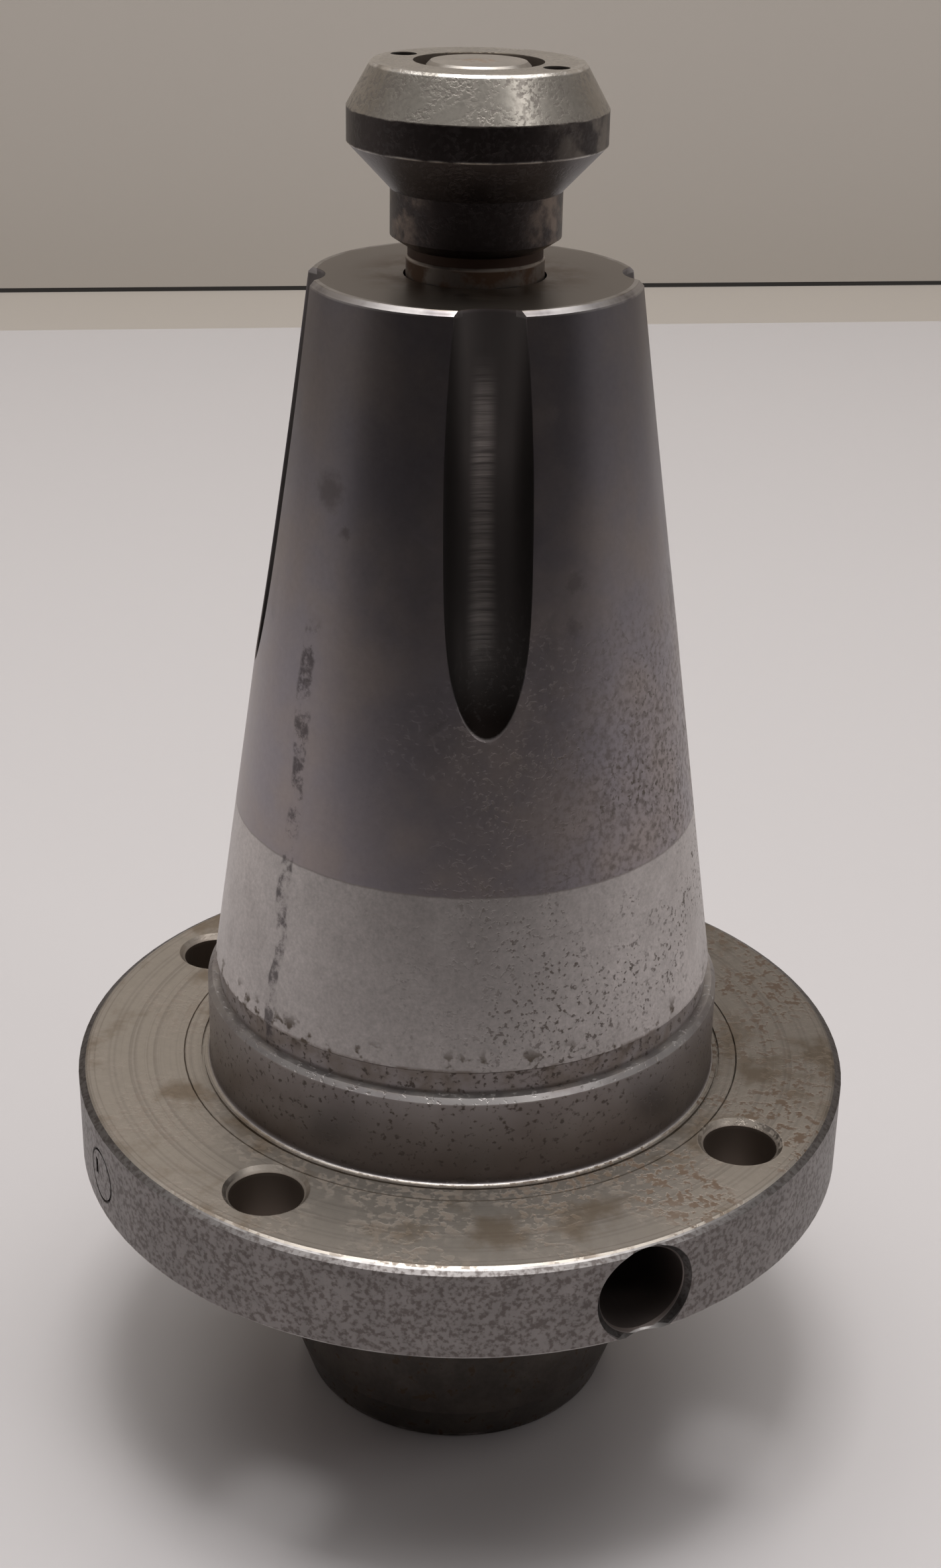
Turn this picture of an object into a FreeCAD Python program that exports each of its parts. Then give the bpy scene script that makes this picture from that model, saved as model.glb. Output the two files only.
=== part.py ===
import FreeCAD, Part
import math
import os

# Steep-taper collet chuck holder, millimetres. It stands on the front face of its nose nut,
# with the taper and the pull knob upwards. The axis is Z and the floor is Z = 0.
# All outlines of turned pieces are (radius, height) points.

V = FreeCAD.Vector
ORIGIN = V(0, 0, 0)
UP = V(0, 0, 1)
FULL_TURN = 360.0
HEXAGON_SIDES = 6

# Shank: size 50 steep taper, 7 in 24 on the diameter
GAUGE_DIA = 69.85
TAPER_PER_LENGTH = 7.0 / 24.0
TAPER_LENGTH = 101.6
SMALL_END_CHAMFER = 0.55
RELIEF_HEIGHT = 3.3
RELIEF_DEPTH = 0.3

# Collar between taper and flange
GAUGE_TO_FLANGE = 4.9
COLLAR_DIA = 69.2
COLLAR_HEIGHT = 12.3
COLLAR_CHAMFER = 0.6
COLLAR_FOOT_WIDTH = 0.9
COLLAR_FOOT_FILLET = 0.65

# Flange: its face rings and bolt circle lie outside the collar, one after the other
FLANGE_THICKNESS = 13.0
FLANGE_CHAMFER_WIDTH = 1.2
FLANGE_CHAMFER_HEIGHT = 0.65
FLANGE_LOWER_BREAK = 0.35
FACE_GROOVE_WIDTH = 0.35
FACE_GROOVE_DEPTH = 0.45
FACE_LAND_WIDTH = 2.2
FACE_LINE_WIDTH = 0.22
FACE_LINE_DEPTH = 0.25

# Four bolt holes through the flange
BOLT_HOLE_COUNT = 4
BOLT_HOLE_TO_LINE = 0.58
BOLT_HOLE_TO_RIM = 4.15
BOLT_HOLE_DIA = 9.5
BOLT_MOUTH_DIA = 11.0
BOLT_FIRST_ANGLE = -123.2

# Spanner socket drilled into the rim
RIM_SOCKET_DIA = 11.7
RIM_SOCKET_MOUTH_DIA = 13.6
RIM_SOCKET_DEPTH = 20.0
RIM_SOCKET_ANGLE = -63.7
RIM_SOCKET_HEIGHT = 6.2
DRILL_POINT_ANGLE = 118.0

# Plug screwed flush into the rim, and staked by a short chisel mark beside its axis
RIM_PLUG_DIA = 6.8
RIM_PLUG_LENGTH = 9.0
RIM_PLUG_ANGLE = -152.8
RIM_PLUG_HEIGHT = 6.0
RIM_PLUG_CLEARANCE = 0.12
RIM_PLUG_MOUTH_BEVEL = 0.15
RIM_PLUG_MARK_WIDTH = 0.9
RIM_PLUG_MARK_DEPTH = 0.7
RIM_PLUG_MARK_LENGTH = 2.4
RIM_PLUG_MARK_OFFSET = -1.5
RIM_PLUG_MARK_RISE = 0.6

# Flutes milled down the small end of the taper with a round-edged cutter
FLUTE_COUNT = 4
FLUTE_FIRST_ANGLE = -84.8
FLUTE_WIDTH = 10.5
FLUTE_DEPTH = 2.3
FLUTE_LENGTH = 49.2
FLUTE_CUTTER_RADIUS = 60.0

# Pull knob
KNOB_STANDOFF = 3.4
KNOB_LENGTH = 21.0
KNOB_TOP_DIA = 25.2
KNOB_HEAD_DIA = 30.6
KNOB_NECK_DIA = 20.4
KNOB_TOP_CONE_HEIGHT = 5.0
KNOB_BAND_HEIGHT = 4.0
KNOB_LOWER_CONE_HEIGHT = 5.3
KNOB_FOOT_CHAMFER_WIDTH = 2.0
KNOB_FOOT_CHAMFER_HEIGHT = 1.3
KNOB_TOP_CHAMFER = 0.3
KNOB_RECESS_DIA = 15.2
KNOB_RECESS_DEPTH = 1.8
PIN_HOLE_COUNT = 2
PIN_HOLE_DIA = 3.1
PIN_HOLE_DEPTH = 5.0
PIN_HOLE_CIRCLE_DIA = 20.2
PIN_HOLE_ANGLE = 150.5

# Draw stud: screwed into the holder, and the knob screwed on to it
STUD_TOP_THREAD_DIA = 12.2
STUD_TOP_CHAMFER = 0.5
STUD_RELIEF_DIA = 16.2
STUD_RELIEF_HEIGHT = 1.1
STUD_RING_DIA = 16.6
STUD_RING_LENGTH = 14.0
STUD_RING_CHAMFER = 0.25
STUD_THREAD_DIA = 16.0
STUD_THREAD_LENGTH = 26.0
STUD_END_CHAMFER = 1.2
STUD_HOLE_CLEARANCE = 0.3
STUD_BLIND_SPACE = 2.5
THREAD_CLEARANCE = 0.1

# Nose under the flange
HUB_DIA = 50.0
HUB_LENGTH = 5.0
HUB_FILLET = 1.5
NOSE_LENGTH = 29.7
NOSE_THREAD_DIA = 38.0
NOSE_CHAMFER = 1.0
NOSE_RELIEF_WIDTH = 3.0
NOSE_RELIEF_DEPTH = 1.2

# Inside of the holder
SEAT_ANGLE = 8.0
SEAT_CLEARANCE = 0.06
SEAT_EXTRA_LENGTH = 1.5
STOP_BORE_DIA = 20.0
STOP_BORE_LENGTH = 40.0
DRAW_BORE_DIA = 9.0

# Stop screw behind the collet
STOP_SCREW_LENGTH = 16.0
STOP_SCREW_GAP = 4.0
STOP_SCREW_CHAMFER = 1.2
STOP_SOCKET_ACROSS_FLATS = 10.0
STOP_SOCKET_DEPTH = 9.0
STOP_BORE_THROUGH_DIA = 6.0

# Collet, measured from its front face, which stands back from the nut's
COLLET_SET_BACK = 0.5
COLLET_LENGTH = 34.0
COLLET_BORE_DIA = 16.0
COLLET_BACK_DIA = 30.2
COLLET_FRONT_DIA = 25.4
COLLET_FRONT_ANGLE = 30.0
COLLET_FRONT_CONE_LENGTH = 4.0
COLLET_RIM_WIDTH = 0.8
COLLET_GROOVE_WIDTH = 2.8
COLLET_GROOVE_DEPTH = 1.6
COLLET_LAND_WIDTH = 0.8
COLLET_BACK_CHAMFER = 0.6
COLLET_BORE_CHAMFER = 0.4
COLLET_SLOT_COUNT = 6
COLLET_SLOT_ANGLE = 7.5
COLLET_SLOT_WIDTH = 1.0
COLLET_SLOT_BRIDGE = 4.0

# Nose nut
NUT_DIA = 46.8
NUT_LENGTH = 28.0
NUT_OVERHANG = 8.9
NUT_FRONT_DIA = 43.2
NUT_FRONT_TAPER_LENGTH = 5.5
NUT_EDGE_FILLET = 0.6
NUT_LIP_THICKNESS = 3.3
NUT_MOUTH_DIA = 32.6
NUT_SLOT_COUNT = 6
NUT_SLOT_WIDTH = 5.0
NUT_SLOT_DEPTH = 2.2
NUT_SLOT_LENGTH = 8.0
NUT_THREAD_LEAD_IN = 1.0

# Thrust ring that turns free inside the nut and hooks the collet
RING_DIA = 36.0
RING_SHOULDER_HEIGHT = 3.5
RING_SPIGOT_DIA = 31.8
RING_SPIGOT_SET_BACK = 0.6
RING_CLEARANCE = 0.1
RING_HOOK_HEIGHT = 1.2
RING_HOOK_CLEARANCE = 0.2
RING_HOOK_OFFSET = 0.9

# Wire ring that keeps the thrust ring in the nut
CLIP_WIRE_DIA = 1.2
CLIP_GAP_ANGLE = 30.0
CLIP_CLEARANCE = 0.1

# Radii and diameters that follow from the sizes above
FACE_FOOT_RADIUS = COLLAR_DIA / 2 + COLLAR_FOOT_WIDTH
FACE_LAND_RADIUS = FACE_FOOT_RADIUS + FACE_GROOVE_WIDTH
FACE_LINE_RADIUS = FACE_LAND_RADIUS + FACE_LAND_WIDTH
BOLT_CIRCLE_DIA = 2 * (FACE_LINE_RADIUS + FACE_LINE_WIDTH + BOLT_HOLE_TO_LINE) + BOLT_HOLE_DIA
FLANGE_DIA = BOLT_CIRCLE_DIA + BOLT_HOLE_DIA + 2 * BOLT_HOLE_TO_RIM

# Heights that follow from the sizes above
NOSE_END_Z = NUT_OVERHANG
FLANGE_BOTTOM_Z = NOSE_END_Z + NOSE_LENGTH
FLANGE_TOP_Z = FLANGE_BOTTOM_Z + FLANGE_THICKNESS
GAUGE_Z = FLANGE_TOP_Z + GAUGE_TO_FLANGE
COLLAR_TOP_Z = FLANGE_TOP_Z + COLLAR_HEIGHT
RELIEF_TOP_Z = COLLAR_TOP_Z + RELIEF_HEIGHT
SMALL_END_Z = GAUGE_Z + TAPER_LENGTH
KNOB_BOTTOM_Z = SMALL_END_Z + KNOB_STANDOFF
KNOB_TOP_Z = KNOB_BOTTOM_Z + KNOB_LENGTH
STUD_RING_TOP_Z = KNOB_BOTTOM_Z - STUD_RELIEF_HEIGHT
STUD_RING_BOTTOM_Z = STUD_RING_TOP_Z - STUD_RING_LENGTH
STUD_END_Z = STUD_RING_BOTTOM_Z - STUD_THREAD_LENGTH
COLLET_FRONT_Z = COLLET_SET_BACK
COLLET_BACK_Z = COLLET_FRONT_Z + COLLET_LENGTH
SEAT_TOP_Z = COLLET_BACK_Z + SEAT_EXTRA_LENGTH
STOP_BORE_TOP_Z = SEAT_TOP_Z + STOP_BORE_LENGTH
STOP_SCREW_BOTTOM_Z = COLLET_BACK_Z + STOP_SCREW_GAP
RING_SEAT_Z = NUT_LIP_THICKNESS
RING_TOP_Z = RING_SEAT_Z + RING_CLEARANCE + RING_SHOULDER_HEIGHT
CLIP_Z = RING_TOP_Z + CLIP_CLEARANCE + CLIP_WIRE_DIA / 2
EXTRA = 1.0


def taper_radius(z):
    return GAUGE_DIA / 2 - (z - GAUGE_Z) * TAPER_PER_LENGTH / 2


def turned(outline):
    """Solid turned from a closed outline of (radius, height) points."""
    points = [V(r, 0, z) for r, z in outline]
    face = Part.Face(Part.makePolygon(points + points[:1]))
    return face.revolve(ORIGIN, UP, FULL_TURN)


def bar(diameter, z_low, z_high):
    return Part.makeCylinder(diameter / 2, z_high - z_low, V(0, 0, z_low), UP)


def ring_edges(shape, radius, z):
    """Circular edges of a turned shape at one radius and height."""
    near = 1e-4
    found = []
    for edge in shape.Edges:
        curve = edge.Curve
        if isinstance(curve, Part.Circle) and abs(curve.Radius - radius) < near:
            if abs(curve.Center.z - z) < near and curve.Center.x ** 2 + curve.Center.y ** 2 < near:
                found.append(edge)
    return found


def outward(angle, radius, z):
    """Point at an angle round the axis."""
    return V(radius * math.cos(math.radians(angle)), radius * math.sin(math.radians(angle)), z)


def around(shape, count, first_angle):
    """Copies of a shape made at angle 0, spread evenly round the axis."""
    copies = []
    for index in range(count):
        copy = shape.copy()
        copy.rotate(ORIGIN, UP, first_angle + index * FULL_TURN / count)
        copies.append(copy)
    return copies


def flute_cutter():
    """Sweep of a round-edged milling cutter, at angle 0: a straight run, then its run-out."""
    edge_radius = FLUTE_WIDTH / 2
    floor_radius = taper_radius(SMALL_END_Z) - FLUTE_DEPTH
    tip_z = SMALL_END_Z - FLUTE_LENGTH
    tip_rise = taper_radius(tip_z) - floor_radius
    axis_radius = floor_radius + FLUTE_CUTTER_RADIUS
    run_out = math.sqrt(FLUTE_CUTTER_RADIUS ** 2 - (FLUTE_CUTTER_RADIUS - tip_rise) ** 2)
    straight_z = tip_z + run_out
    corner_radius = floor_radius + edge_radius
    outer = taper_radius(tip_z) + edge_radius
    left = V(corner_radius, edge_radius, straight_z)
    right = V(corner_radius, -edge_radius, straight_z)
    bottom = V(floor_radius, 0, straight_z)
    far_left = V(outer, edge_radius, straight_z)
    far_right = V(outer, -edge_radius, straight_z)
    edges = [
        Part.Arc(left, bottom, right).toShape(),
        Part.makeLine(right, far_right),
        Part.makeLine(far_right, far_left),
        Part.makeLine(far_left, left),
    ]
    profile = Part.Face(Part.Wire(edges))
    straight = profile.extrude(V(0, 0, SMALL_END_Z + EXTRA - straight_z))
    quarter = FULL_TURN / 4
    swing = profile.revolve(V(axis_radius, 0, straight_z), V(0, -1, 0), quarter)
    return straight.fuse(swing)


def body_outline():
    """Outer and inner outline of the holder, from the nose end round to the bore."""
    thread_r = NOSE_THREAD_DIA / 2
    relief_r = thread_r - NOSE_RELIEF_DEPTH
    hub_r = HUB_DIA / 2
    hub_z = FLANGE_BOTTOM_Z - HUB_LENGTH
    rim_r = FLANGE_DIA / 2
    collar_r = COLLAR_DIA / 2
    groove_z = FLANGE_TOP_Z - FACE_GROOVE_DEPTH
    relief_low_r = taper_radius(RELIEF_TOP_Z) - RELIEF_DEPTH
    small_r = taper_radius(SMALL_END_Z)
    stud_hole_r = STUD_RING_DIA / 2 + STUD_HOLE_CLEARANCE
    stud_thread_r = STUD_THREAD_DIA / 2 + THREAD_CLEARANCE
    seat_r = COLLET_BACK_DIA / 2 + SEAT_CLEARANCE
    seat_slope = math.tan(math.radians(SEAT_ANGLE))
    seat_top_r = seat_r - (SEAT_TOP_Z - NOSE_END_Z) * seat_slope
    return [
        (seat_r, NOSE_END_Z),
        (thread_r - NOSE_CHAMFER, NOSE_END_Z),
        (thread_r, NOSE_END_Z + NOSE_CHAMFER),
        (thread_r, hub_z - NOSE_RELIEF_WIDTH),
        (relief_r, hub_z - NOSE_RELIEF_WIDTH + NOSE_RELIEF_DEPTH),
        (relief_r, hub_z),
        (hub_r, hub_z),
        (hub_r, FLANGE_BOTTOM_Z),
        (rim_r - FLANGE_LOWER_BREAK, FLANGE_BOTTOM_Z),
        (rim_r, FLANGE_BOTTOM_Z + FLANGE_LOWER_BREAK),
        (rim_r, FLANGE_TOP_Z - FLANGE_CHAMFER_HEIGHT),
        (rim_r - FLANGE_CHAMFER_WIDTH, FLANGE_TOP_Z),
        (FACE_LINE_RADIUS + FACE_LINE_WIDTH, FLANGE_TOP_Z),
        (FACE_LINE_RADIUS + FACE_LINE_WIDTH / 2, FLANGE_TOP_Z - FACE_LINE_DEPTH),
        (FACE_LINE_RADIUS, FLANGE_TOP_Z),
        (FACE_LAND_RADIUS, FLANGE_TOP_Z),
        (FACE_LAND_RADIUS, groove_z),
        (FACE_FOOT_RADIUS, groove_z),
        (FACE_FOOT_RADIUS, FLANGE_TOP_Z),
        (collar_r, FLANGE_TOP_Z),
        (collar_r, COLLAR_TOP_Z - COLLAR_CHAMFER),
        (collar_r - COLLAR_CHAMFER, COLLAR_TOP_Z),
        (relief_low_r, COLLAR_TOP_Z),
        (relief_low_r, RELIEF_TOP_Z - RELIEF_DEPTH),
        (taper_radius(RELIEF_TOP_Z), RELIEF_TOP_Z),
        (taper_radius(SMALL_END_Z - SMALL_END_CHAMFER), SMALL_END_Z - SMALL_END_CHAMFER),
        (small_r - SMALL_END_CHAMFER, SMALL_END_Z),
        (stud_hole_r, SMALL_END_Z),
        (stud_hole_r, STUD_RING_BOTTOM_Z),
        (stud_thread_r, STUD_RING_BOTTOM_Z),
        (stud_thread_r, STUD_END_Z - STUD_BLIND_SPACE),
        (DRAW_BORE_DIA / 2, STUD_END_Z - STUD_BLIND_SPACE),
        (DRAW_BORE_DIA / 2, STOP_BORE_TOP_Z),
        (STOP_BORE_DIA / 2, STOP_BORE_TOP_Z),
        (STOP_BORE_DIA / 2, SEAT_TOP_Z),
        (seat_top_r, SEAT_TOP_Z),
    ]


def rim_drilling(angle, height, diameter, mouth_diameter, depth):
    """Hole drilled inwards from the rim, with a chamfered mouth and a drill point."""
    rim_r = FLANGE_DIA / 2
    hole_r = diameter / 2
    mouth_r = mouth_diameter / 2
    mouth_sag = rim_r - math.sqrt(rim_r ** 2 - mouth_r ** 2)
    mouth_depth = mouth_sag + mouth_r - hole_r
    point_length = hole_r / math.tan(math.radians(DRILL_POINT_ANGLE / 2))
    drill_outline = [
        (0, EXTRA),
        (mouth_r + EXTRA, EXTRA),
        (hole_r, -mouth_depth),
        (hole_r, -depth),
        (0, -depth - point_length),
    ]
    drill = turned(drill_outline)
    drill.rotate(ORIGIN, V(0, 1, 0), FULL_TURN / 4)
    drill.translate(V(rim_r, 0, FLANGE_BOTTOM_Z + height))
    drill.rotate(ORIGIN, UP, angle)
    return drill


def bolt_holes():
    hole_r = BOLT_HOLE_DIA / 2
    mouth_r = BOLT_MOUTH_DIA / 2
    bevel = mouth_r - hole_r
    drill = turned([
        (0, FLANGE_BOTTOM_Z - EXTRA),
        (mouth_r + EXTRA, FLANGE_BOTTOM_Z - EXTRA),
        (hole_r, FLANGE_BOTTOM_Z + bevel),
        (hole_r, FLANGE_TOP_Z - bevel),
        (mouth_r + EXTRA, FLANGE_TOP_Z + EXTRA),
        (0, FLANGE_TOP_Z + EXTRA),
    ])
    drill.translate(V(BOLT_CIRCLE_DIA / 2, 0, 0))
    return around(drill, BOLT_HOLE_COUNT, BOLT_FIRST_ANGLE)


def holder_body():
    body = turned(body_outline())
    foot = ring_edges(body, COLLAR_DIA / 2, FLANGE_TOP_Z)
    body = body.makeFillet(COLLAR_FOOT_FILLET, foot)
    hub_corner = ring_edges(body, HUB_DIA / 2, FLANGE_BOTTOM_Z)
    body = body.makeFillet(HUB_FILLET, hub_corner)
    socket = rim_drilling(RIM_SOCKET_ANGLE, RIM_SOCKET_HEIGHT, RIM_SOCKET_DIA,
                          RIM_SOCKET_MOUTH_DIA, RIM_SOCKET_DEPTH)
    plug_hole_dia = RIM_PLUG_DIA + 2 * RIM_PLUG_CLEARANCE
    plug_mouth_dia = plug_hole_dia + 2 * RIM_PLUG_MOUTH_BEVEL
    plug_hole = rim_drilling(RIM_PLUG_ANGLE, RIM_PLUG_HEIGHT, plug_hole_dia,
                             plug_mouth_dia, RIM_PLUG_LENGTH)
    cutters = around(flute_cutter(), FLUTE_COUNT, FLUTE_FIRST_ANGLE)
    return body.cut(cutters + bolt_holes() + [socket, plug_hole])


def rim_plug():
    """Plug with its outer end turned flush with the rim."""
    rim_r = FLANGE_DIA / 2
    inner_end = V(rim_r - RIM_PLUG_LENGTH, 0, 0)
    plug = Part.makeCylinder(RIM_PLUG_DIA / 2, RIM_PLUG_LENGTH, inner_end, V(1, 0, 0))
    rim = bar(FLANGE_DIA, -RIM_PLUG_DIA, RIM_PLUG_DIA)
    mark_corner = V(rim_r - RIM_PLUG_MARK_DEPTH, RIM_PLUG_MARK_OFFSET - RIM_PLUG_MARK_WIDTH / 2,
                    RIM_PLUG_MARK_RISE - RIM_PLUG_MARK_LENGTH / 2)
    mark = Part.makeBox(RIM_PLUG_MARK_DEPTH + EXTRA, RIM_PLUG_MARK_WIDTH, RIM_PLUG_MARK_LENGTH,
                        mark_corner)
    plug = plug.common(rim).cut(mark)
    plug.translate(V(0, 0, FLANGE_BOTTOM_Z + RIM_PLUG_HEIGHT))
    plug.rotate(ORIGIN, UP, RIM_PLUG_ANGLE)
    return plug


def pull_knob():
    top_r = KNOB_TOP_DIA / 2
    head_r = KNOB_HEAD_DIA / 2
    neck_r = KNOB_NECK_DIA / 2
    bore_r = STUD_TOP_THREAD_DIA / 2 + THREAD_CLEARANCE
    recess_r = KNOB_RECESS_DIA / 2
    recess_z = KNOB_TOP_Z - KNOB_RECESS_DEPTH
    band_top_z = KNOB_TOP_Z - KNOB_TOP_CONE_HEIGHT
    band_low_z = band_top_z - KNOB_BAND_HEIGHT
    knob = turned([
        (bore_r, KNOB_BOTTOM_Z),
        (neck_r - KNOB_FOOT_CHAMFER_WIDTH, KNOB_BOTTOM_Z),
        (neck_r, KNOB_BOTTOM_Z + KNOB_FOOT_CHAMFER_HEIGHT),
        (neck_r, band_low_z - KNOB_LOWER_CONE_HEIGHT),
        (head_r, band_low_z),
        (head_r, band_top_z),
        (top_r, KNOB_TOP_Z - KNOB_TOP_CHAMFER),
        (top_r - KNOB_TOP_CHAMFER, KNOB_TOP_Z),
        (recess_r, KNOB_TOP_Z),
        (recess_r, recess_z),
        (bore_r, recess_z),
    ])
    pin_hole = bar(PIN_HOLE_DIA, KNOB_TOP_Z - PIN_HOLE_DEPTH, KNOB_TOP_Z + EXTRA)
    pin_hole.translate(V(PIN_HOLE_CIRCLE_DIA / 2, 0, 0))
    return knob.cut(around(pin_hole, PIN_HOLE_COUNT, PIN_HOLE_ANGLE))


def draw_stud():
    top_r = STUD_TOP_THREAD_DIA / 2
    relief_r = STUD_RELIEF_DIA / 2
    ring_r = STUD_RING_DIA / 2
    thread_r = STUD_THREAD_DIA / 2
    return turned([
        (0, STUD_END_Z),
        (thread_r - STUD_END_CHAMFER, STUD_END_Z),
        (thread_r, STUD_END_Z + STUD_END_CHAMFER),
        (thread_r, STUD_RING_BOTTOM_Z),
        (ring_r, STUD_RING_BOTTOM_Z),
        (ring_r, STUD_RING_TOP_Z - STUD_RING_CHAMFER),
        (ring_r - STUD_RING_CHAMFER, STUD_RING_TOP_Z),
        (relief_r, STUD_RING_TOP_Z),
        (relief_r, KNOB_BOTTOM_Z),
        (top_r, KNOB_BOTTOM_Z),
        (top_r, KNOB_TOP_Z - STUD_TOP_CHAMFER),
        (top_r - STUD_TOP_CHAMFER, KNOB_TOP_Z),
        (0, KNOB_TOP_Z),
    ])


def hexagon_prism(across_flats, z_low, height):
    side_angle = FULL_TURN / HEXAGON_SIDES
    corner_r = across_flats / 2 / math.cos(math.radians(side_angle / 2))
    corners = [outward(side_angle * index, corner_r, z_low) for index in range(HEXAGON_SIDES)]
    return Part.Face(Part.makePolygon(corners + corners[:1])).extrude(V(0, 0, height))


def stop_screw():
    screw_r = STOP_BORE_DIA / 2 - THREAD_CLEARANCE
    top_z = STOP_SCREW_BOTTOM_Z + STOP_SCREW_LENGTH
    through_r = STOP_BORE_THROUGH_DIA / 2
    screw = turned([
        (through_r, STOP_SCREW_BOTTOM_Z),
        (screw_r - STOP_SCREW_CHAMFER, STOP_SCREW_BOTTOM_Z),
        (screw_r, STOP_SCREW_BOTTOM_Z + STOP_SCREW_CHAMFER),
        (screw_r, top_z - STOP_SCREW_CHAMFER),
        (screw_r - STOP_SCREW_CHAMFER, top_z),
        (through_r, top_z),
    ])
    socket_z = STOP_SCREW_BOTTOM_Z - EXTRA
    socket = hexagon_prism(STOP_SOCKET_ACROSS_FLATS, socket_z, STOP_SOCKET_DEPTH + EXTRA)
    return screw.cut(socket)


def collet_rim_radius():
    return COLLET_FRONT_DIA / 2 + COLLET_FRONT_CONE_LENGTH * math.tan(math.radians(COLLET_FRONT_ANGLE))


def collet():
    """Spring collet: long cone at the back, steep cone and hook groove at the front."""
    bore_r = COLLET_BORE_DIA / 2
    rim_r = collet_rim_radius()
    back_r = COLLET_BACK_DIA / 2
    groove_r = rim_r - COLLET_GROOVE_DEPTH
    rim_z = COLLET_FRONT_Z + COLLET_FRONT_CONE_LENGTH
    groove_z = rim_z + COLLET_RIM_WIDTH
    land_z = groove_z + COLLET_GROOVE_WIDTH
    cone_z = land_z + COLLET_LAND_WIDTH
    end_r = back_r - (COLLET_BACK_Z - cone_z) * math.tan(math.radians(SEAT_ANGLE))
    blank = turned([
        (bore_r + COLLET_BORE_CHAMFER, COLLET_FRONT_Z),
        (COLLET_FRONT_DIA / 2, COLLET_FRONT_Z),
        (rim_r, rim_z),
        (rim_r, groove_z),
        (groove_r, groove_z),
        (groove_r, land_z),
        (back_r, land_z),
        (back_r, cone_z),
        (end_r, COLLET_BACK_Z - COLLET_BACK_CHAMFER),
        (end_r - COLLET_BACK_CHAMFER, COLLET_BACK_Z),
        (bore_r, COLLET_BACK_Z),
        (bore_r, COLLET_FRONT_Z + COLLET_BORE_CHAMFER),
    ])
    slot_length = COLLET_LENGTH - COLLET_SLOT_BRIDGE + EXTRA
    slot_size = (COLLET_BACK_DIA, COLLET_SLOT_WIDTH, slot_length)
    slot_side = -COLLET_SLOT_WIDTH / 2
    front_slot = Part.makeBox(*slot_size, V(0, slot_side, COLLET_FRONT_Z - EXTRA))
    back_slot = Part.makeBox(*slot_size, V(0, slot_side, COLLET_FRONT_Z + COLLET_SLOT_BRIDGE))
    back_angle = COLLET_SLOT_ANGLE + FULL_TURN / COLLET_SLOT_COUNT / 2
    front_slots = around(front_slot, COLLET_SLOT_COUNT, COLLET_SLOT_ANGLE)
    back_slots = around(back_slot, COLLET_SLOT_COUNT, back_angle)
    return blank.cut(front_slots + back_slots)


def nose_nut():
    nut_r = NUT_DIA / 2
    thread_r = NOSE_THREAD_DIA / 2 + THREAD_CLEARANCE
    ring_r = RING_DIA / 2 + RING_CLEARANCE
    mouth_r = NUT_MOUTH_DIA / 2
    clip_r = CLIP_WIRE_DIA / 2 + CLIP_CLEARANCE
    step_z = CLIP_Z + clip_r + CLIP_CLEARANCE
    nut = turned([
        (mouth_r, 0),
        (NUT_FRONT_DIA / 2, 0),
        (nut_r, NUT_FRONT_TAPER_LENGTH),
        (nut_r, NUT_LENGTH - NUT_THREAD_LEAD_IN),
        (nut_r - NUT_THREAD_LEAD_IN, NUT_LENGTH),
        (thread_r + NUT_THREAD_LEAD_IN, NUT_LENGTH),
        (thread_r, NUT_LENGTH - NUT_THREAD_LEAD_IN),
        (thread_r, step_z),
        (ring_r, step_z),
        (ring_r, RING_SEAT_Z),
        (mouth_r, RING_SEAT_Z),
    ])
    nut = nut.makeFillet(NUT_EDGE_FILLET, ring_edges(nut, NUT_FRONT_DIA / 2, 0))
    clip_groove = Part.makeTorus(ring_r, clip_r, V(0, 0, CLIP_Z), UP)
    slot_corner = V(nut_r - NUT_SLOT_DEPTH, -NUT_SLOT_WIDTH / 2, NUT_LENGTH - NUT_SLOT_LENGTH)
    slot = Part.makeBox(NUT_SLOT_DEPTH + EXTRA, NUT_SLOT_WIDTH, NUT_SLOT_LENGTH + EXTRA, slot_corner)
    return nut.cut([clip_groove] + around(slot, NUT_SLOT_COUNT, 0))


def thrust_ring():
    """Ring with a cone for the collet and an off-centre hook that reaches into its groove."""
    ring_r = RING_DIA / 2
    spigot_r = RING_SPIGOT_DIA / 2
    low_z = RING_SPIGOT_SET_BACK
    shoulder_z = RING_SEAT_Z + RING_CLEARANCE
    rim_z = COLLET_FRONT_Z + COLLET_FRONT_CONE_LENGTH
    slope = math.tan(math.radians(COLLET_FRONT_ANGLE))
    rim_r = collet_rim_radius() + RING_CLEARANCE
    mouth_r = rim_r - (rim_z - low_z) * slope
    hook_z = rim_z + COLLET_RIM_WIDTH + RING_HOOK_CLEARANCE
    ring = turned([
        (mouth_r, low_z),
        (spigot_r, low_z),
        (spigot_r, shoulder_z),
        (ring_r, shoulder_z),
        (ring_r, RING_TOP_Z),
        (rim_r, RING_TOP_Z),
        (rim_r, rim_z),
    ])
    hook = bar(2 * rim_r + RING_HOOK_OFFSET, hook_z, hook_z + RING_HOOK_HEIGHT)
    eye = bar(2 * rim_r, hook_z - EXTRA, hook_z + RING_HOOK_HEIGHT + EXTRA)
    eye.translate(V(RING_HOOK_OFFSET, 0, 0))
    return ring.fuse(hook.cut(eye)).removeSplitter()


def ring_clip():
    ring_r = RING_DIA / 2 + RING_CLEARANCE
    sweep = FULL_TURN - CLIP_GAP_ANGLE
    return Part.makeTorus(ring_r, CLIP_WIRE_DIA / 2, V(0, 0, CLIP_Z), UP,
                          -FULL_TURN / 2, FULL_TURN / 2, sweep)


PIECES = {
    "holder_body": holder_body,
    "rim_plug": rim_plug,
    "draw_stud": draw_stud,
    "pull_knob": pull_knob,
    "stop_screw": stop_screw,
    "collet": collet,
    "thrust_ring": thrust_ring,
    "ring_clip": ring_clip,
    "nose_nut": nose_nut,
}

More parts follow.
